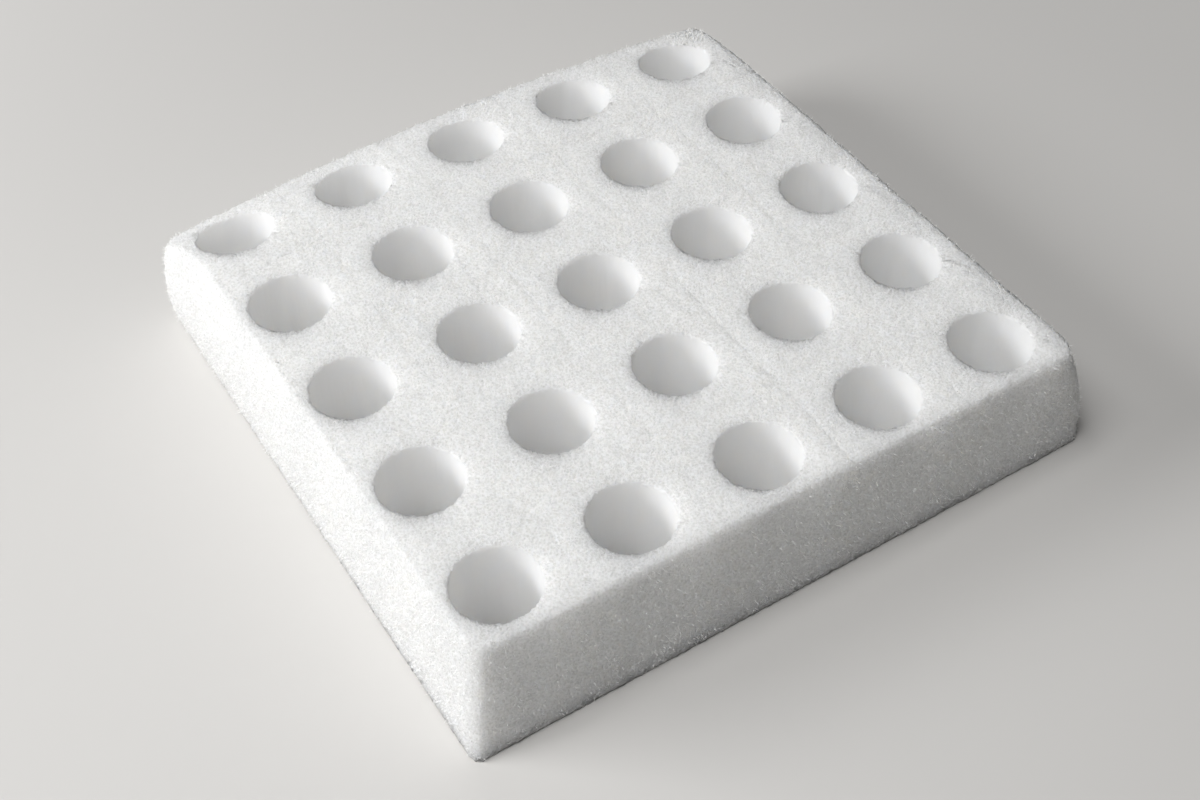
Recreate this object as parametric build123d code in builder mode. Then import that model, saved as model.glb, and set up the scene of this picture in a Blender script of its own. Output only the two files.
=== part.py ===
"""Hydroponic sponge sheet: one block of fine open-cell foam with a square grid of plant holes.

Millimetres, +Z up. X runs along the rows of holes, Y from the front row to the back row, and the origin is
the middle of the foot of the sheet. The sheet lies on its base. Its ends are knife cuts that lean a little,
and the strip under the back row has relaxed, so the top rolls down to the back edge, most at both corners.
"""

import os
from math import radians, tan

from build123d import *

# Grid of plant holes, punched right through
hole_diameter = 15.0
hole_pitch = 25.0
holes_each_way = 5

# Foam left outside the outer hole centres, at the height of the top face
left_margin = 9.5
right_margin = 11.5
front_margin = 10.0
back_margin = 12.5

# Block
thickness = 27.0
left_lean = 5.0  # degrees that the left end leans in from foot to top
right_lean = 16.0  # degrees that the right end leans in

# Vertical corners, as plan radii at the foot and at the top
front_left_radii = (1.5, 5.0)
front_right_radii = (3.0, 7.0)
back_right_radii = (1.5, 2.0)
back_left_radii = (4.0, 6.0)

# Relaxed strip under the back row: how far its back edge hangs below the flat top
left_drop = 10.5
middle_drop = 3.0
right_drop = 6.0

# Rounding of the cut edges around the top
edge_radius = 1.2

# V-shaped score lines that part the sheet into one cell for each plant
score_width = 0.9
row_score_depth = 0.8  # between one row of holes and the next
column_score_depth = 0.5  # between the columns, where the cuts have closed up more

# Sizes that follow from those above
grid_span = hole_pitch * (holes_each_way - 1)
left_inset = thickness * tan(radians(left_lean))
right_inset = thickness * tan(radians(right_lean))
length = left_inset + left_margin + grid_span + right_margin + right_inset
width = front_margin + grid_span + back_margin
grid_x = -length / 2 + left_inset + left_margin + grid_span / 2
grid_y = -width / 2 + front_margin + grid_span / 2
roll_start = grid_y + grid_span / 2 - hole_pitch / 2
cell_edges = [hole_pitch * (i + 1 - holes_each_way / 2) for i in range(holes_each_way - 1)]
overcut = 2.0  # how far the raw slab and the cutters stand past the finished faces


def score(depth):
    """Section of the blade that cuts a score line: its point is at the depth, its middle height at the surface."""
    return Polygon((-score_width, depth), (0.0, -depth), (score_width, depth), align=None)


def outline(height, radii):
    """Closed outline of the sheet at a height, counter-clockwise from the front left corner."""
    left = -length / 2 + height * tan(radians(left_lean))
    right = length / 2 - height * tan(radians(right_lean))
    corners = [
        (left, -width / 2),
        (right, -width / 2),
        (right, width / 2),
        (left, width / 2),
    ]
    return FilletPolyline(*corners, radius=radii, close=True)


with BuildPart() as sponge_sheet:
    # raw slab: a cross section at each end and at the middle, lofted along X
    for x, drop in (
        (-length / 2 - overcut, left_drop),
        (0.0, middle_drop),
        (length / 2 + overcut, right_drop),
    ):
        with BuildSketch(Plane.YZ.offset(x)):
            with BuildLine():
                flat = Line((-width / 2 - overcut, thickness), (roll_start, thickness))
                roll = TangentArc(flat @ 1, (width / 2 + overcut, thickness - drop), tangent=flat % 1)
                Polyline(roll @ 1, (width / 2 + overcut, -overcut), (-width / 2 - overcut, -overcut), flat @ 0)
            make_face()
    loft()

    # the five cut faces: the foot and the four sides, of which the two ends lean
    top_height = thickness + overcut
    radii = list(zip(front_left_radii, front_right_radii, back_right_radii, back_left_radii))
    for height, corner_radii in ((0.0, radii[0]), (top_height, radii[1])):
        with BuildSketch(Plane.XY.offset(height)):
            with BuildLine():
                outline(height, corner_radii)
            make_face()
    loft(ruled=True, mode=Mode.INTERSECT)

    # lines over the top between the columns of holes, read off while the faces are whole
    top_faces = sponge_sheet.faces().filter_by(lambda face: face.normal_at().Z > 0.7)
    flat_face, roll_face = top_faces.sort_by(Axis.Y)
    column_lines = []
    for offset in cell_edges:
        cut_plane = Plane.YZ.offset(grid_x + offset)
        column_lines.append(Wire([face.intersect(cut_plane)[0] for face in (flat_face, roll_face)]))

    # soft edge around the top, except the line where the two faces meet
    seam = flat_face.edges().sort_by(Axis.Y)[-1]
    rim = [edge for edge in flat_face.edges() + roll_face.edges() if (edge.center() - seam.center()).length > 0.01]
    fillet(rim, radius=edge_radius)

    # plant holes, through the whole thickness
    with BuildSketch(Plane.XY.offset(-overcut)):
        with Locations((grid_x, grid_y)):
            with GridLocations(hole_pitch, hole_pitch, holes_each_way, holes_each_way):
                Circle(hole_diameter / 2)
    extrude(amount=thickness + 2 * overcut, mode=Mode.SUBTRACT)

    # score lines: straight ones between the rows, and ones between the columns that follow the top
    with BuildSketch(Plane.YZ.offset(-length / 2 - overcut)):
        with Locations(*[(grid_y + offset, thickness) for offset in cell_edges]):
            score(row_score_depth)
    extrude(amount=length + 2 * overcut, mode=Mode.SUBTRACT)
    for line in column_lines:
        with BuildSketch(Plane(line @ 0, x_dir=(1, 0, 0), z_dir=line % 0)):
            score(column_score_depth)
        sweep(path=line, mode=Mode.SUBTRACT)

sponge_sheet.part.label = "sponge_sheet"
os.makedirs("parts", exist_ok=True)
export_step(sponge_sheet.part, "parts/sponge_sheet.step")
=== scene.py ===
"""Hydroponic sponge sheet: a block of white open-cell foam with a grid of plant holes, on a plain studio floor."""

import math

import bpy
import numpy as np
from bpy.props import FloatProperty, FloatVectorProperty, IntProperty, PointerProperty
from bpy.types import Operator, Panel, PropertyGroup
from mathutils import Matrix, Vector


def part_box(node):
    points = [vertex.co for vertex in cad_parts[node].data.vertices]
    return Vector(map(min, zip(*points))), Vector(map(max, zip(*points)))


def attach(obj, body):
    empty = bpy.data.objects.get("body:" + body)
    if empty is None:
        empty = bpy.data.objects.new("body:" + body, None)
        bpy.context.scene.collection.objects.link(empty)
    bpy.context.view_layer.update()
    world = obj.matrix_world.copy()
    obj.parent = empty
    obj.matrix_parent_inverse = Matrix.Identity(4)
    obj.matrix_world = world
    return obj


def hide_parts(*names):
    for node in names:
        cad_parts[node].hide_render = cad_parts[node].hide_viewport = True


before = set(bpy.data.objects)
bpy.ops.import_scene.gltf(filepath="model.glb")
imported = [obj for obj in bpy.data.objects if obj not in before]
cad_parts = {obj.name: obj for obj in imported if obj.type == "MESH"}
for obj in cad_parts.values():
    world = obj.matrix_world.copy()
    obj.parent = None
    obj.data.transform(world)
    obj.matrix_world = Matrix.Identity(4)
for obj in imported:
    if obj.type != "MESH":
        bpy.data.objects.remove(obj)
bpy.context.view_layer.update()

bl_info = {
    "name": "Sponge Sheet",
    "version": (1, 0, 0),
    "blender": (4, 5, 0),
    "location": "View3D > Sidebar > Sponge Sheet",
    "description": "Builds a hydroponic sponge sheet with its foam material, and a plain studio around it",
    "category": "Add Mesh",
}

FOOT_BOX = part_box("sponge_sheet")


def length(name, description, default):
    """A length property in metres."""
    return FloatProperty(name=name, description=description, default=default, unit="LENGTH", subtype="DISTANCE",
                         precision=5)


def angle(name, description, default):
    """An angle property, given here in degrees."""
    return FloatProperty(name=name, description=description, default=math.radians(default), unit="ROTATION",
                         subtype="ANGLE")


# Sizes and colours ---------------------------------------------------------------------------------------------


class SheetSizes(PropertyGroup):
    """The cut block and its plant holes."""

    hole_diameter: length("Hole diameter", "Width of each plant hole", 0.015)
    hole_pitch: length("Hole pitch", "From one hole's centre to the next", 0.025)
    grid_x: length("Grid X", "Middle of the grid of holes along X", -0.00369)
    grid_y: length("Grid Y", "Middle of the grid of holes along Y", -0.00125)
    left_lean: angle("Left lean", "How far the left end leans in", 5.0)
    right_lean: angle("Right lean", "How far the right end leans in", 16.0)
    left_swell: length("Left swell", "How far the left end swells out at half height, at the back", 0.0022)
    right_swell: length("Right swell", "How far the right end swells out at half height", 0.0022)
    front_spread: length("Front spread", "How far the front face spreads at the foot, at the left", 0.0013)
    corner_foot: FloatVectorProperty(
        name="Corner radii, foot", description="Front left, front right, back right and back left", size=4,
        default=(0.0015, 0.003, 0.0015, 0.003), unit="LENGTH", precision=5)
    corner_top: FloatVectorProperty(
        name="Corner radii, top", description="Front left, front right, back right and back left", size=4,
        default=(0.0050, 0.007, 0.002, 0.005), unit="LENGTH", precision=5)
    drops: FloatVectorProperty(
        name="Back edge drop", description="How far the relaxed back edge hangs at the left, middle and right",
        size=3, default=(0.0105, 0.003, 0.006), unit="LENGTH", precision=5)
    edge_radius: length("Edge radius", "Rounding of the top's outer edges", 0.0009)
    rim_radius: length("Rim radius", "Rounding where a plant hole meets the top", 0.0003)
    score_width: length("Score width", "Width of the score lines between cells", 0.0009)
    score_depth: length("Score depth", "Depth of the score lines between cells", 0.00012)
    valley_depth: length("Valley depth", "How far the foam sinks beside a score line", 0.00008)
    side_steps: IntProperty(name="Side steps", description="Mesh steps along one side of a cell", default=50, min=4)


class FoamFinish(PropertyGroup):
    """The foam's colour and surface."""

    colour: FloatVectorProperty(name="Foam colour", description="White of the foam", subtype="COLOR", size=3,
                                default=(0.99, 0.99, 0.985), min=0.0, max=1.0)
    pore_colour: FloatVectorProperty(name="Pore colour", description="Tone inside the open cells", subtype="COLOR",
                                     size=3, default=(0.81, 0.81, 0.795), min=0.0, max=1.0)
    pore_size: length("Pore size", "Width of one open cell of the foam", 0.00054)
    fuzz: length("Fuzz", "How far single cell walls stand out of a cut face", 0.00014)
    tip_count: IntProperty(name="Tips", description="Number of torn cell walls that stand out", default=45000, min=0)
    tip_length: length("Tip length", "How far the longest torn cell walls stand out", 0.0006)
    foot_gap: length("Foot gap", "How far the foot's open cells leave it above the floor", 0.0006)
    glow: length("Glow", "How far light spreads inside the foam", 0.010)


class StudioSettings(PropertyGroup):
    """Floor, lamps and camera."""

    floor_colour: FloatVectorProperty(name="Floor colour", description="Plain pale floor", subtype="COLOR", size=3,
                                      default=(0.60, 0.59, 0.575), min=0.0, max=1.0)
    key_power: FloatProperty(name="Key lamp", description="Power of the low lamp at the left", default=5.4,
                             unit="POWER")
    top_power: FloatProperty(name="Top lamp", description="Power of the wide soft lamp above", default=7.3,
                             unit="POWER")
    sky: FloatProperty(name="Sky", description="Strength of the even light from all round", default=0.02)
    eye: FloatVectorProperty(name="Camera place", description="Where the camera stands", subtype="TRANSLATION",
                             size=3, default=(-0.12546, -0.19848, 0.24083), unit="LENGTH", precision=5)
    turn: FloatVectorProperty(name="Camera turn", description="Camera rotation", subtype="EULER", size=3,
                              default=(math.radians(43.374), math.radians(0.294), math.radians(-32.016)))
    lens: FloatProperty(name="Lens", description="Focal length on a 36 mm wide sensor", default=51.77,
                        unit="CAMERA")


# Shape of the foam ---------------------------------------------------------------------------------------------


def roll_drop(x, y, sizes):
    """How far the top hangs below its flat part.

    In each cross section it is an arc of a circle that leaves the flat top without a corner at the last row of
    score lines. The arc's drop at the back edge is the parabola in X through the three stated drops.
    """
    reach = 0.002
    half = (FOOT_BOX[1][0] - FOOT_BOX[0][0]) / 2 + reach
    back = FOOT_BOX[1][1] + reach
    start = sizes.grid_y + 1.5 * sizes.hole_pitch
    left, middle, right = sizes.drops
    t = x / half
    drop = middle + (right - left) / 2 * t + ((right + left) / 2 - middle) * t**2
    run = np.clip(y - start, 0.0, back - start)
    radius = ((back - start) ** 2 + drop**2) / (2 * drop)
    return radius - np.sqrt(np.maximum(radius**2 - run**2, 0.0))


def round_over(distance, radius):
    """Drop of a rounded edge: the radius at the edge itself, and nothing once a radius away from it."""
    inside = np.clip(radius - distance, 0.0, radius)
    return radius - np.sqrt(radius**2 - inside**2)


def nearest_offset(values, middle, pitch):
    """Distance from each value to the nearest line of a five-fold grid, and that line's place."""
    line = np.clip(np.round((values - middle) / pitch), -2, 2) * pitch + middle
    return values - line, line


def top_height(x, y, sizes):
    """Height of the top: the thickness, less the roll of the back strip, the rounded outer edges and hole rims,
    and at each score line a narrow V and a soft valley that is a bell curve of the distance from the line."""
    height = FOOT_BOX[1][2] - roll_drop(x, y, sizes)
    edge = np.minimum(np.minimum(x - FOOT_BOX[0][0], FOOT_BOX[1][0] - x),
                      np.minimum(y - FOOT_BOX[0][1], FOOT_BOX[1][1] - y))
    height = height - round_over(np.maximum(edge, 0.0), sizes.edge_radius)
    hole_x, _ = nearest_offset(x, sizes.grid_x, sizes.hole_pitch)
    hole_y, _ = nearest_offset(y, sizes.grid_y, sizes.hole_pitch)
    from_rim = np.maximum(np.hypot(hole_x, hole_y) - sizes.hole_diameter / 2, 0.0)
    height = height - round_over(from_rim, sizes.rim_radius)
    place = np.stack([x, y, np.zeros_like(x)], axis=-1).reshape(-1, 3)
    patchy = 0.55 + 0.45 * waves(place, 0.045, 7).reshape(x.shape)
    for values, middle, shares in ((y, sizes.grid_y, (1.5, 1.0, 1.4, 5.0)), (x, sizes.grid_x, (0.7, 0.9, 1.2, 0.8))):
        cell = (values - middle) / sizes.hole_pitch + 0.5
        line = np.clip(np.round(cell), -1, 2)
        away = np.abs(cell - line) * sizes.hole_pitch
        groove = sizes.score_depth * np.clip(1 - 2 * away / sizes.score_width, 0, 1)
        valley = sizes.valley_depth * np.exp(-((away / 0.0016) ** 2))
        height = height - patchy * np.array(shares)[line.astype(int) + 1] * (groove + valley)
    return height


def round_corners(x, y, share, sizes):
    """Move the points in each corner square onto a quarter disc: the square is bent so that its outer corner
    comes to the arc and its sides stay joined. share is 1 at the top and 0 at the foot, and blends the radii."""
    x, y = x.copy(), y.copy()
    places = ((0, 0), (1, 0), (1, 1), (0, 1))
    for (side_x, side_y), foot, top in zip(places, sizes.corner_foot, sizes.corner_top):
        radius = foot + (top - foot) * share
        sign_x, sign_y = 2 * side_x - 1, 2 * side_y - 1
        centre_x = FOOT_BOX[side_x][0] - sign_x * radius
        centre_y = FOOT_BOX[side_y][1] - sign_y * radius
        u = (x - centre_x) * sign_x / radius
        v = (y - centre_y) * sign_y / radius
        inside = (u > 0) & (v > 0)
        bent_u = u * np.sqrt(np.maximum(1 - v**2 / 2, 0.0))
        bent_v = v * np.sqrt(np.maximum(1 - u**2 / 2, 0.0))
        x = np.where(inside, centre_x + sign_x * radius * bent_u, x)
        y = np.where(inside, centre_y + sign_y * radius * bent_v, y)
    return x, y


def lean_ends(x, y, z, sizes):
    """Lean the two ends in with height and swell them by a half sine wave of the height, and spread the front face
    at the foot. Each shift is whole at its own face and fades to none at the outer holes' rims, so that the holes
    stay upright. The left swell grows from the front to the back, and the spread from the right to the left."""
    (x_low, y_low, _), (x_high, y_high, z_high) = FOOT_BOX
    reach = 2 * sizes.hole_pitch + sizes.hole_diameter / 2 + sizes.rim_radius
    left = np.clip((sizes.grid_x - reach - x) / (sizes.grid_x - reach - x_low), 0, 1)
    right = np.clip((x - sizes.grid_x - reach) / (x_high - sizes.grid_x - reach), 0, 1)
    front = np.clip((sizes.grid_y - reach - y) / (sizes.grid_y - reach - y_low), 0, 1)
    to_back = np.clip((y - y_low) / (y_high - y_low), 0, 1)
    to_left = np.clip((x_high - x) / (x_high - x_low), 0, 1)
    rise = np.clip(z / z_high, 0, 1)
    swell = np.sin(math.pi * rise)
    lean_left = z * math.tan(sizes.left_lean) - sizes.left_swell * swell * to_back
    lean_right = z * math.tan(sizes.right_lean) - sizes.right_swell * swell
    return x + lean_left * left - lean_right * right, y - sizes.front_spread * (1 - rise) * to_left * front


def box_ring(x0, x1, y0, y1, steps):
    """Points along the sides of a box, anticlockwise from its low corner, with so many steps on each side."""
    t = np.arange(steps) / steps
    low, high = np.zeros(steps), np.ones(steps)
    u = np.concatenate([t, high, 1 - t, low])
    v = np.concatenate([low, t, high, 1 - t])
    return x0 + (x1 - x0) * u, y0 + (y1 - y0) * v


def cell_rings(x0, x1, y0, y1, hole_x, hole_y, sizes):
    """One cell, as rings of (x, y, share of the height): in from the cell's edge over the top to the hole, down
    the hole's wall and back out over the foot. The first rings are the cell's box drawn in by small steps, then
    each ring is a straight mix of that box and the hole's circle, point by point at the same bearing."""
    radius, rim, steps = sizes.hole_diameter / 2, sizes.rim_radius, sizes.side_steps
    edge_x, edge_y = box_ring(x0, x1, y0, y1, steps)
    bearing = np.arctan2(edge_y - hole_y, edge_x - hole_x)
    insets = np.array([0.0, 0.00015, 0.0004, 0.0007, 0.0011])
    boxes = [box_ring(x0 + d, x1 - d, y0 + d, y1 - d, steps) for d in insets]
    inner_x, inner_y = boxes[-1]
    circle_x, circle_y = hole_x + (radius + rim) * np.cos(bearing), hole_y + (radius + rim) * np.sin(bearing)
    mix = (np.arange(1, 9) / 8)[:, None]
    rings_x = [np.array([b[0] for b in boxes]), inner_x + (circle_x - inner_x) * mix]
    rings_y = [np.array([b[1] for b in boxes]), inner_y + (circle_y - inner_y) * mix]
    turn = np.radians([30.0, 60.0, 90.0])[:, None]
    out = radius + rim * (1 - np.sin(turn))
    rings_x.append(hole_x + out * np.cos(bearing))
    rings_y.append(hole_y + out * np.sin(bearing))
    top_count = len(insets) + len(mix) + len(turn)
    wall = np.concatenate([[0.985, 0.965, 0.93, 0.88], np.linspace(0.80, 0.0, 10)])
    rings_x.append(np.repeat(rings_x[-1][-1:], len(wall), axis=0))
    rings_y.append(np.repeat(rings_y[-1][-1:], len(wall), axis=0))
    back = (np.arange(1, 4) / 3)[:, None]
    foot_x, foot_y = rings_x[-1][-1], rings_y[-1][-1]
    rings_x.append(foot_x + (edge_x - foot_x) * back)
    rings_y.append(foot_y + (edge_y - foot_y) * back)
    share = np.concatenate([np.ones(top_count), wall, np.zeros(len(back))])
    x, y = np.concatenate(rings_x), np.concatenate(rings_y)
    return x, y, np.repeat(share[:, None], x.shape[1], axis=1)


def ring_faces(rows, columns, start, flip):
    """Quads between neighbouring rings that close on themselves, as corner numbers from start."""
    ring, along = np.meshgrid(np.arange(rows - 1), np.arange(columns), indexing="ij")
    after = (along + 1) % columns
    quads = np.stack([ring * columns + along, ring * columns + after,
                      (ring + 1) * columns + after, (ring + 1) * columns + along], axis=-1).reshape(-1, 4)
    return (quads[:, ::-1] if flip else quads) + start


def waves(points, wavelength, seed, count=14):
    """A soft random field from -1 to 1: the mean of sine waves in random directions, scaled to its usual size."""
    dice = np.random.default_rng(seed)
    way = dice.normal(size=(count, 3))
    way *= (2 * math.pi / wavelength) * (0.7 + 0.6 * dice.random((count, 1))) / np.linalg.norm(way, axis=1)[:, None]
    phase = dice.random(count) * 2 * math.pi
    return np.clip(np.sin(points @ way.T + phase).sum(axis=1) / math.sqrt(count / 2) / 2, -1, 1)


def sheet_surface(sizes, finish):
    """Vertices, quads and the cut-face mask of the whole sheet.

    Every cell of the five by five grid is a set of closed rings, and the four outer sides are one more set of
    rings from the top's edge to the foot. All are laid out flat, with a share of the height for each point, and
    points that fall together are welded. Then each point gets its height, the corners are rounded, the ends lean,
    and the cut faces are roughened along their normals by soft waves and by a random push at each point, which is
    larger at the holes' rims. The foot stands on the tips of its cell walls: a point is on the floor or up to the
    foot gap above it.
    """
    (x_low, y_low, _), (x_high, y_high, _) = FOOT_BOX
    pitch, steps = sizes.hole_pitch, sizes.side_steps
    middles_x = sizes.grid_x + (np.arange(5) - 2) * pitch
    middles_y = sizes.grid_y + (np.arange(5) - 2) * pitch
    lines_x = np.concatenate([[x_low], (middles_x[1:] + middles_x[:-1]) / 2, [x_high]])
    lines_y = np.concatenate([[y_low], (middles_y[1:] + middles_y[:-1]) / 2, [y_high]])
    parts, faces, start = [], [], 0
    for row in range(5):
        for column in range(5):
            x, y, share = cell_rings(lines_x[column], lines_x[column + 1], lines_y[row], lines_y[row + 1],
                                     middles_x[column], middles_y[row], sizes)
            faces.append(ring_faces(x.shape[0], x.shape[1], start, flip=False))
            parts.append(np.stack([x, y, share], axis=-1).reshape(-1, 3))
            start += x.size
    t = np.arange(steps) / steps
    side_x = np.concatenate([a + (b - a) * t for a, b in zip(lines_x[:-1], lines_x[1:])])
    side_y = np.concatenate([a + (b - a) * t for a, b in zip(lines_y[:-1], lines_y[1:])])
    back_x = np.concatenate([side_x[1:], [x_high]])[::-1]
    back_y = np.concatenate([side_y[1:], [y_high]])[::-1]
    around_x = np.concatenate([side_x, np.full(side_y.size, x_high), back_x, np.full(side_y.size, x_low)])
    around_y = np.concatenate([np.full(side_x.size, y_low), side_y, np.full(side_x.size, y_high), back_y])
    levels = 1 - np.arange(0, 37) / 36
    side = np.stack(np.broadcast_arrays(around_x[None, :], around_y[None, :], levels[:, None]), axis=-1)
    faces.append(ring_faces(levels.size, around_x.size, start, flip=True))
    parts.append(side.reshape(-1, 3))

    flat = np.concatenate(parts)
    quads = np.concatenate(faces)
    keys = np.round(flat / np.array([1e-7, 1e-7, 1e-7])).astype(np.int64)
    _, first, number = np.unique(keys, axis=0, return_index=True, return_inverse=True)
    flat, quads = flat[first], number.reshape(-1)[quads]

    x, y, share = flat.T
    z = share * top_height(x, y, sizes)
    hole_x, _ = nearest_offset(x, sizes.grid_x, pitch)
    hole_y, _ = nearest_offset(y, sizes.grid_y, pitch)
    from_hole = np.hypot(hole_x, hole_y) - sizes.hole_diameter / 2
    bent_x, bent_y = round_corners(x, y, share, sizes)
    points = np.stack([*lean_ends(bent_x, bent_y, z, sizes), z], axis=1)

    open_cells = np.clip(from_hole / sizes.rim_radius, 0.0, 1.0)
    normals = vertex_normals(points, quads)
    dice = np.random.default_rng(11)
    push = finish.fuzz * dice.normal(size=len(points)).clip(-1.8, 1.8) * (0.15 + 0.85 * open_cells)
    push += 0.00006 * waves(points, 0.011, 3) * open_cells + 0.00006 * waves(points, 0.0035, 5) * open_cells
    at_rim = (share > 0.999) & (from_hole < 1.5 * sizes.rim_radius)
    push += np.where(at_rim, finish.fuzz * dice.normal(size=len(points)).clip(-1.5, 1.5), 0.0)
    on_foot = share < 0.001
    points = points + normals * np.where(on_foot, 0.0, push)[:, None]
    tips = finish.foot_gap * dice.random(len(points)) ** 0.5
    points[:, 2] = np.where(on_foot, np.where(tips < 0.3 * finish.foot_gap, 0.0, tips), points[:, 2])
    return points, quads, open_cells


def vertex_normals(points, quads):
    """Unit normals at the points: the sum of the cross products of the diagonals of the quads that meet there."""
    across = np.cross(points[quads[:, 2]] - points[quads[:, 0]], points[quads[:, 3]] - points[quads[:, 1]])
    total = np.zeros_like(points)
    for corner in range(4):
        for axis in range(3):
            total[:, axis] += np.bincount(quads[:, corner], weights=across[:, axis], minlength=len(points))
    return total / np.maximum(np.linalg.norm(total, axis=1)[:, None], 1e-12)


def torn_tips(points, quads, open_cells, finish):
    """Vertices and triangles of the torn cell walls on the cut faces.

    Each is a thin spike of four triangles. Its place is a random mix of the corners of a random quad, chosen with a
    chance in proportion to the quad's area. Its base is a triangle turned at random in a plane just under the
    surface, and its tip stands out along the normal with a random tilt and a random share of the full length.
    """
    dice = np.random.default_rng(29)
    cut = (open_cells[quads].min(axis=1) > 0.5) & (points[quads, 2].min(axis=1) > finish.foot_gap)
    quads = quads[cut]
    corners = points[quads]
    across = np.cross(corners[:, 2] - corners[:, 0], corners[:, 3] - corners[:, 1])
    area = np.linalg.norm(across, axis=1)
    pick = dice.choice(len(quads), size=finish.tip_count, p=area / area.sum())
    u, v = dice.random((2, finish.tip_count, 1))
    c = corners[pick]
    base = (1 - v) * ((1 - u) * c[:, 0] + u * c[:, 1]) + v * ((1 - u) * c[:, 3] + u * c[:, 2])
    normal = across[pick] / area[pick][:, None]
    side = np.cross(normal, dice.normal(size=base.shape))
    side /= np.linalg.norm(side, axis=1)[:, None]
    other = np.cross(normal, side)
    tall = finish.tip_length * (0.35 + 0.65 * dice.random((finish.tip_count, 1)))
    thick = 0.15 * finish.tip_length
    turn = np.radians([0.0, 120.0, 240.0])
    feet = [base - 0.3 * finish.tip_length * normal + thick * (math.cos(t) * side + math.sin(t) * other) for t in turn]
    tip = base + tall * normal + 0.5 * tall * dice.normal(size=base.shape).clip(-1.5, 1.5)
    vertices = np.stack([*feet, tip], axis=1).reshape(-1, 3)
    vertices[:, 2] = np.maximum(vertices[:, 2], 0.0)
    spike = np.array([(0, 2, 1), (0, 1, 3), (1, 2, 3), (2, 0, 3)])
    triangles = (np.arange(finish.tip_count)[:, None, None] * 4 + spike).reshape(-1, 3)
    return vertices, triangles


# Materials -----------------------------------------------------------------------------------------------------


def pore_group():
    """Node group, built once: the foam's open cells, as a height, a mask of the pores and a faint cloudiness."""
    if "Foam pores" in bpy.data.node_groups:
        return bpy.data.node_groups["Foam pores"]
    group = bpy.data.node_groups.new("Foam pores", "ShaderNodeTree")
    for name, kind, value in (("Pores per metre", "NodeSocketFloat", 2000.0), ("Openness", "NodeSocketFloat", 1.0)):
        group.interface.new_socket(name=name, in_out="INPUT", socket_type=kind).default_value = value
    for name in ("Height", "Pore", "Cloud"):
        group.interface.new_socket(name=name, in_out="OUTPUT", socket_type="NodeSocketFloat")
    nodes, links = group.nodes, group.links
    entry, leave = nodes.new("NodeGroupInput"), nodes.new("NodeGroupOutput")
    place = nodes.new("ShaderNodeTexCoord")

    wobble = nodes.new("ShaderNodeTexNoise")
    wobble.inputs["Detail"].default_value = 2.0
    shift = nodes.new("ShaderNodeVectorMath")
    shift.operation = "MULTIPLY_ADD"
    shift.inputs[1].default_value = (0.0005, 0.0005, 0.0005)
    links.new(place.outputs["Object"], wobble.inputs["Vector"])
    links.new(entry.outputs["Pores per metre"], wobble.inputs["Scale"])
    links.new(wobble.outputs["Color"], shift.inputs[0])
    links.new(place.outputs["Object"], shift.inputs[2])

    cells = nodes.new("ShaderNodeTexVoronoi")
    cells.feature = "F1"
    links.new(shift.outputs["Vector"], cells.inputs["Vector"])
    links.new(entry.outputs["Pores per metre"], cells.inputs["Scale"])
    fine = nodes.new("ShaderNodeTexNoise")
    fine.inputs["Detail"].default_value = 3.0
    fine.inputs["Roughness"].default_value = 0.65
    double = nodes.new("ShaderNodeMath")
    double.operation = "MULTIPLY"
    double.inputs[1].default_value = 1.25
    links.new(entry.outputs["Pores per metre"], double.inputs[0])
    links.new(place.outputs["Object"], fine.inputs["Vector"])
    links.new(double.outputs[0], fine.inputs["Scale"])

    both = nodes.new("ShaderNodeMath")
    both.operation = "MULTIPLY_ADD"
    both.inputs[1].default_value = 0.45
    links.new(cells.outputs["Distance"], both.inputs[0])
    links.new(fine.outputs["Fac"], both.inputs[2])
    pore = nodes.new("ShaderNodeMapRange")
    pore.inputs["From Min"].default_value = 0.52
    pore.inputs["From Max"].default_value = 0.84
    pore.inputs["To Min"].default_value = 1.0
    pore.inputs["To Max"].default_value = 0.0
    links.new(both.outputs[0], pore.inputs["Value"])
    masked = nodes.new("ShaderNodeMath")
    masked.operation = "MULTIPLY"
    links.new(pore.outputs["Result"], masked.inputs[0])
    links.new(entry.outputs["Openness"], masked.inputs[1])
    links.new(masked.outputs[0], leave.inputs["Pore"])

    mixed = nodes.new("ShaderNodeMath")
    mixed.operation = "MULTIPLY_ADD"
    mixed.inputs[1].default_value = -0.8
    links.new(pore.outputs["Result"], mixed.inputs[0])
    links.new(fine.outputs["Fac"], mixed.inputs[2])
    height = nodes.new("ShaderNodeMath")
    height.operation = "MULTIPLY"
    links.new(mixed.outputs[0], height.inputs[0])
    links.new(entry.outputs["Openness"], height.inputs[1])
    links.new(height.outputs[0], leave.inputs["Height"])

    cloud = nodes.new("ShaderNodeTexNoise")
    cloud.inputs["Scale"].default_value = 70.0
    cloud.inputs["Detail"].default_value = 2.0
    links.new(place.outputs["Object"], cloud.inputs["Vector"])
    links.new(cloud.outputs["Fac"], leave.inputs["Cloud"])
    return group


def tip_material(finish):
    """Torn cell walls: matt white skins too thin to hold any light, with the tone of the foam's pores."""
    material = bpy.data.materials.new("Torn cell walls")
    material.use_nodes = True
    nodes, links = material.node_tree.nodes, material.node_tree.links
    shader = nodes["Principled BSDF"]
    pores = nodes.new("ShaderNodeGroup")
    pores.node_tree = pore_group()
    pores.inputs["Pores per metre"].default_value = 1.0 / finish.pore_size
    tone = nodes.new("ShaderNodeMix")
    tone.data_type = "RGBA"
    tone.inputs["A"].default_value = (*finish.colour, 1.0)
    tone.inputs["B"].default_value = (*finish.pore_colour, 1.0)
    links.new(pores.outputs["Pore"], tone.inputs["Factor"])
    links.new(tone.outputs["Result"], shader.inputs["Base Color"])
    shader.inputs["Roughness"].default_value = 0.9
    shader.inputs["Specular IOR Level"].default_value = 0.15
    return material


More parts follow.
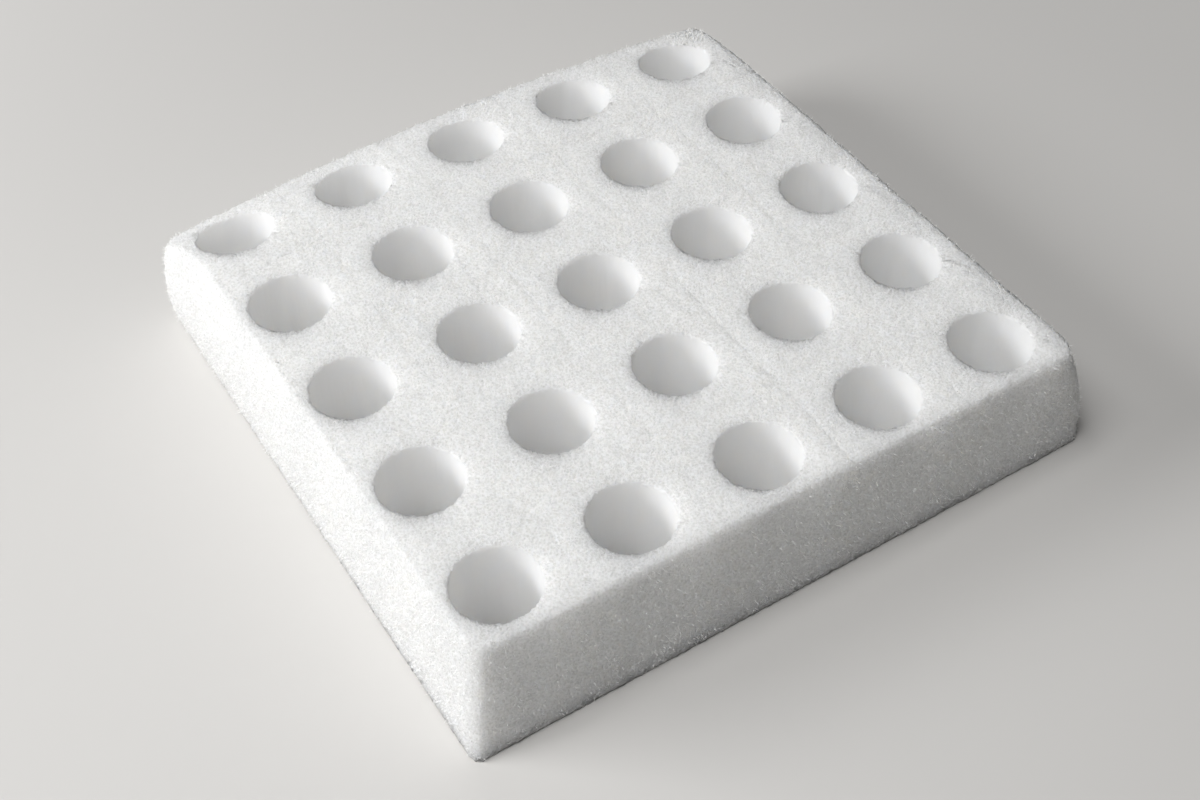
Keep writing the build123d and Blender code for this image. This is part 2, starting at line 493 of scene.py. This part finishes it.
def foam_material(finish):
    """White translucent foam: pores as bump and tone, a faint cloudiness, and light that spreads inside it."""
    material = bpy.data.materials.new("White open-cell foam")
    material.use_nodes = True
    nodes, links = material.node_tree.nodes, material.node_tree.links
    shader = nodes["Principled BSDF"]
    pores = nodes.new("ShaderNodeGroup")
    pores.node_tree = pore_group()
    pores.inputs["Pores per metre"].default_value = 1.0 / finish.pore_size
    mask = nodes.new("ShaderNodeAttribute")
    mask.attribute_name = "open_cells"
    links.new(mask.outputs["Fac"], pores.inputs["Openness"])

    tone = nodes.new("ShaderNodeMix")
    tone.data_type = "RGBA"
    tone.inputs["A"].default_value = (*finish.colour, 1.0)
    tone.inputs["B"].default_value = (*finish.pore_colour, 1.0)
    links.new(pores.outputs["Pore"], tone.inputs["Factor"])
    cloudy = nodes.new("ShaderNodeMix")
    cloudy.data_type = "RGBA"
    cloudy.blend_type = "MULTIPLY"
    cloudy.inputs["Factor"].default_value = 0.05
    links.new(tone.outputs["Result"], cloudy.inputs["A"])
    links.new(pores.outputs["Cloud"], cloudy.inputs["B"])
    links.new(cloudy.outputs["Result"], shader.inputs["Base Color"])

    rough = nodes.new("ShaderNodeMapRange")
    rough.inputs["To Min"].default_value = 0.82
    rough.inputs["To Max"].default_value = 0.97
    links.new(pores.outputs["Pore"], rough.inputs["Value"])
    links.new(rough.outputs["Result"], shader.inputs["Roughness"])

    bump = nodes.new("ShaderNodeBump")
    bump.inputs["Strength"].default_value = 0.85
    bump.inputs["Distance"].default_value = finish.pore_size * 0.45
    links.new(pores.outputs["Height"], bump.inputs["Height"])
    links.new(bump.outputs["Normal"], shader.inputs["Normal"])

    shader.inputs["Specular IOR Level"].default_value = 0.15
    shader.inputs["Subsurface Weight"].default_value = 0.88
    shader.inputs["Subsurface Radius"].default_value = (1.0, 0.97, 0.92)
    shader.inputs["Subsurface Scale"].default_value = finish.glow
    shader.inputs["Subsurface Anisotropy"].default_value = 0.3
    return material


def seen_directly(nodes, links):
    """A socket that is 1 for what the camera sees, straight or in a gloss or glass, and 0 for light on the sheet."""
    path = nodes.new("ShaderNodeLightPath")
    total = path.outputs["Is Camera Ray"]
    for other in ("Is Glossy Ray", "Is Transmission Ray"):
        larger = nodes.new("ShaderNodeMath")
        larger.operation = "MAXIMUM"
        links.new(total, larger.inputs[0])
        links.new(path.outputs[other], larger.inputs[1])
        total = larger.outputs[0]
    return total


def floor_material(colour):
    """Plain matt floor. Far from the sheet, where the lamps fade, it shows its own pale tone to the camera."""
    material = bpy.data.materials.new("Pale floor")
    material.use_nodes = True
    nodes, links = material.node_tree.nodes, material.node_tree.links
    shader = nodes["Principled BSDF"]
    shader.inputs["Base Color"].default_value = (*colour, 1.0)
    shader.inputs["Roughness"].default_value = 0.8
    shader.inputs["Specular IOR Level"].default_value = 0.2
    place = nodes.new("ShaderNodeTexCoord")
    reach = nodes.new("ShaderNodeVectorMath")
    reach.operation = "LENGTH"
    links.new(place.outputs["Object"], reach.inputs[0])
    far = nodes.new("ShaderNodeMapRange")
    far.interpolation_type = "SMOOTHSTEP"
    far.inputs["From Min"].default_value = 0.12
    far.inputs["From Max"].default_value = 0.8
    links.new(reach.outputs["Value"], far.inputs["Value"])
    shown = nodes.new("ShaderNodeMath")
    shown.operation = "MULTIPLY"
    links.new(far.outputs["Result"], shown.inputs[0])
    links.new(seen_directly(nodes, links), shown.inputs[1])
    links.new(shown.outputs[0], shader.inputs["Emission Strength"])
    shader.inputs["Emission Color"].default_value = (*colour, 1.0)
    return material


# Operators -----------------------------------------------------------------------------------------------------


class SPONGE_OT_sheet(Operator):
    """Build the foam sheet and its material"""

    bl_idname = "sponge.sheet"
    bl_label = "Build Sponge Sheet"

    def execute(self, context):
        sizes, finish = context.scene.sponge_sizes, context.scene.sponge_finish
        points, quads, open_cells = sheet_surface(sizes, finish)
        mesh = bpy.data.meshes.new("foam_sheet")
        mesh.from_pydata(points, [], quads)
        mask = mesh.attributes.new("open_cells", "FLOAT", "POINT")
        mask.data.foreach_set("value", open_cells.astype(np.float32))
        mesh.shade_smooth()
        on_foot = (points[quads, 2] < finish.foot_gap).all(axis=1)
        mesh.polygons.foreach_set("use_smooth", ~on_foot)
        mesh.validate()
        sheet = bpy.data.objects.new("foam_sheet", mesh)
        context.scene.collection.objects.link(sheet)
        mesh.materials.append(foam_material(finish))
        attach(sheet, "root")
        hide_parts("sponge_sheet")
        return {"FINISHED"}


class SPONGE_OT_tips(Operator):
    """Build the torn cell walls that stand out of the sheet's cut faces"""

    bl_idname = "sponge.tips"
    bl_label = "Build Torn Tips"

    def execute(self, context):
        finish = context.scene.sponge_finish
        vertices, triangles = torn_tips(*sheet_surface(context.scene.sponge_sizes, finish), finish)
        mesh = bpy.data.meshes.new("foam_tips")
        mesh.from_pydata(vertices, [], triangles)
        mesh.materials.append(tip_material(finish))
        tips = bpy.data.objects.new("foam_tips", mesh)
        context.scene.collection.objects.link(tips)
        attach(tips, "root")
        return {"FINISHED"}


class SPONGE_OT_stage(Operator):
    """Build the plain floor, the lamps and the camera"""

    bl_idname = "sponge.stage"
    bl_label = "Build Studio"

    def lamp(self, context, name, power, size, bearing, rise, away):
        """Hang a soft lamp that points at the sheet, at a bearing and a rise in degrees."""
        light = bpy.data.lights.new(name, "AREA")
        light.shape = "RECTANGLE"
        light.size, light.size_y = size
        light.energy = power
        bearing, rise = math.radians(bearing), math.radians(rise)
        lamp = bpy.data.objects.new(name, light)
        lamp.location = (away * math.cos(bearing) * math.cos(rise), away * math.sin(bearing) * math.cos(rise),
                         away * math.sin(rise))
        lamp.rotation_euler = (math.pi / 2 - rise, 0.0, bearing + math.pi / 2)
        context.scene.collection.objects.link(lamp)

    def execute(self, context):
        studio = context.scene.sponge_studio
        half = 3.0
        mesh = bpy.data.meshes.new("studio_floor")
        mesh.from_pydata([(-half, -half, 0), (half, -half, 0), (half, half, 0), (-half, half, 0)], [], [(0, 1, 2, 3)])
        mesh.materials.append(floor_material(studio.floor_colour))
        floor = bpy.data.objects.new("studio_floor", mesh)
        context.scene.collection.objects.link(floor)

        self.lamp(context, "key_lamp", studio.key_power, (0.45, 0.30), 158.0, 30.0, 0.9)
        self.lamp(context, "top_lamp", studio.top_power, (0.50, 0.50), -163.0, 66.0, 1.0)

        world = bpy.data.worlds.new("Even light")
        context.scene.world = world
        world.use_nodes = True
        nodes, links = world.node_tree.nodes, world.node_tree.links
        nodes["Background"].inputs["Color"].default_value = (1.0, 0.985, 0.96, 1.0)
        strength = nodes.new("ShaderNodeMapRange")
        strength.inputs["To Min"].default_value = studio.sky
        strength.inputs["To Max"].default_value = 0.62
        links.new(seen_directly(nodes, links), strength.inputs["Value"])
        links.new(strength.outputs["Result"], nodes["Background"].inputs["Strength"])

        lens = bpy.data.cameras.new("camera")
        lens.sensor_width = 36.0
        lens.lens = studio.lens
        lens.clip_start = 0.01
        camera = bpy.data.objects.new("camera", lens)
        camera.location = studio.eye
        camera.rotation_euler = studio.turn
        context.scene.collection.objects.link(camera)
        context.scene.camera = camera
        context.scene.view_settings.view_transform = "Standard"
        return {"FINISHED"}


class SPONGE_PT_panel(Panel):
    """Sizes, finish and studio of the sponge sheet"""

    bl_idname = "SPONGE_PT_panel"
    bl_label = "Sponge Sheet"
    bl_space_type = "VIEW_3D"
    bl_region_type = "UI"
    bl_category = "Sponge Sheet"

    def draw(self, context):
        scene = context.scene
        for group in (scene.sponge_sizes, scene.sponge_finish, scene.sponge_studio):
            box = self.layout.box()
            for name in group.__annotations__:
                box.prop(group, name)
        for operator in (SPONGE_OT_stage, SPONGE_OT_sheet, SPONGE_OT_tips):
            self.layout.operator(operator.bl_idname)


CLASSES = (SheetSizes, FoamFinish, StudioSettings, SPONGE_OT_stage, SPONGE_OT_sheet, SPONGE_OT_tips,
           SPONGE_PT_panel)


def register():
    """Register the classes and hang their settings on the scene."""
    for cls in CLASSES:
        bpy.utils.register_class(cls)
    bpy.types.Scene.sponge_sizes = PointerProperty(type=SheetSizes)
    bpy.types.Scene.sponge_finish = PointerProperty(type=FoamFinish)
    bpy.types.Scene.sponge_studio = PointerProperty(type=StudioSettings)


def unregister():
    """Take the settings and the classes away again."""
    for name in ("sponge_studio", "sponge_finish", "sponge_sizes"):
        delattr(bpy.types.Scene, name)
    for cls in reversed(CLASSES):
        bpy.utils.unregister_class(cls)


def main():
    """Register the classes, then build the studio, the sheet and its torn tips."""
    register()
    bpy.ops.sponge.stage()
    bpy.ops.sponge.sheet()
    bpy.ops.sponge.tips()


if __name__ == "__main__":
    main()
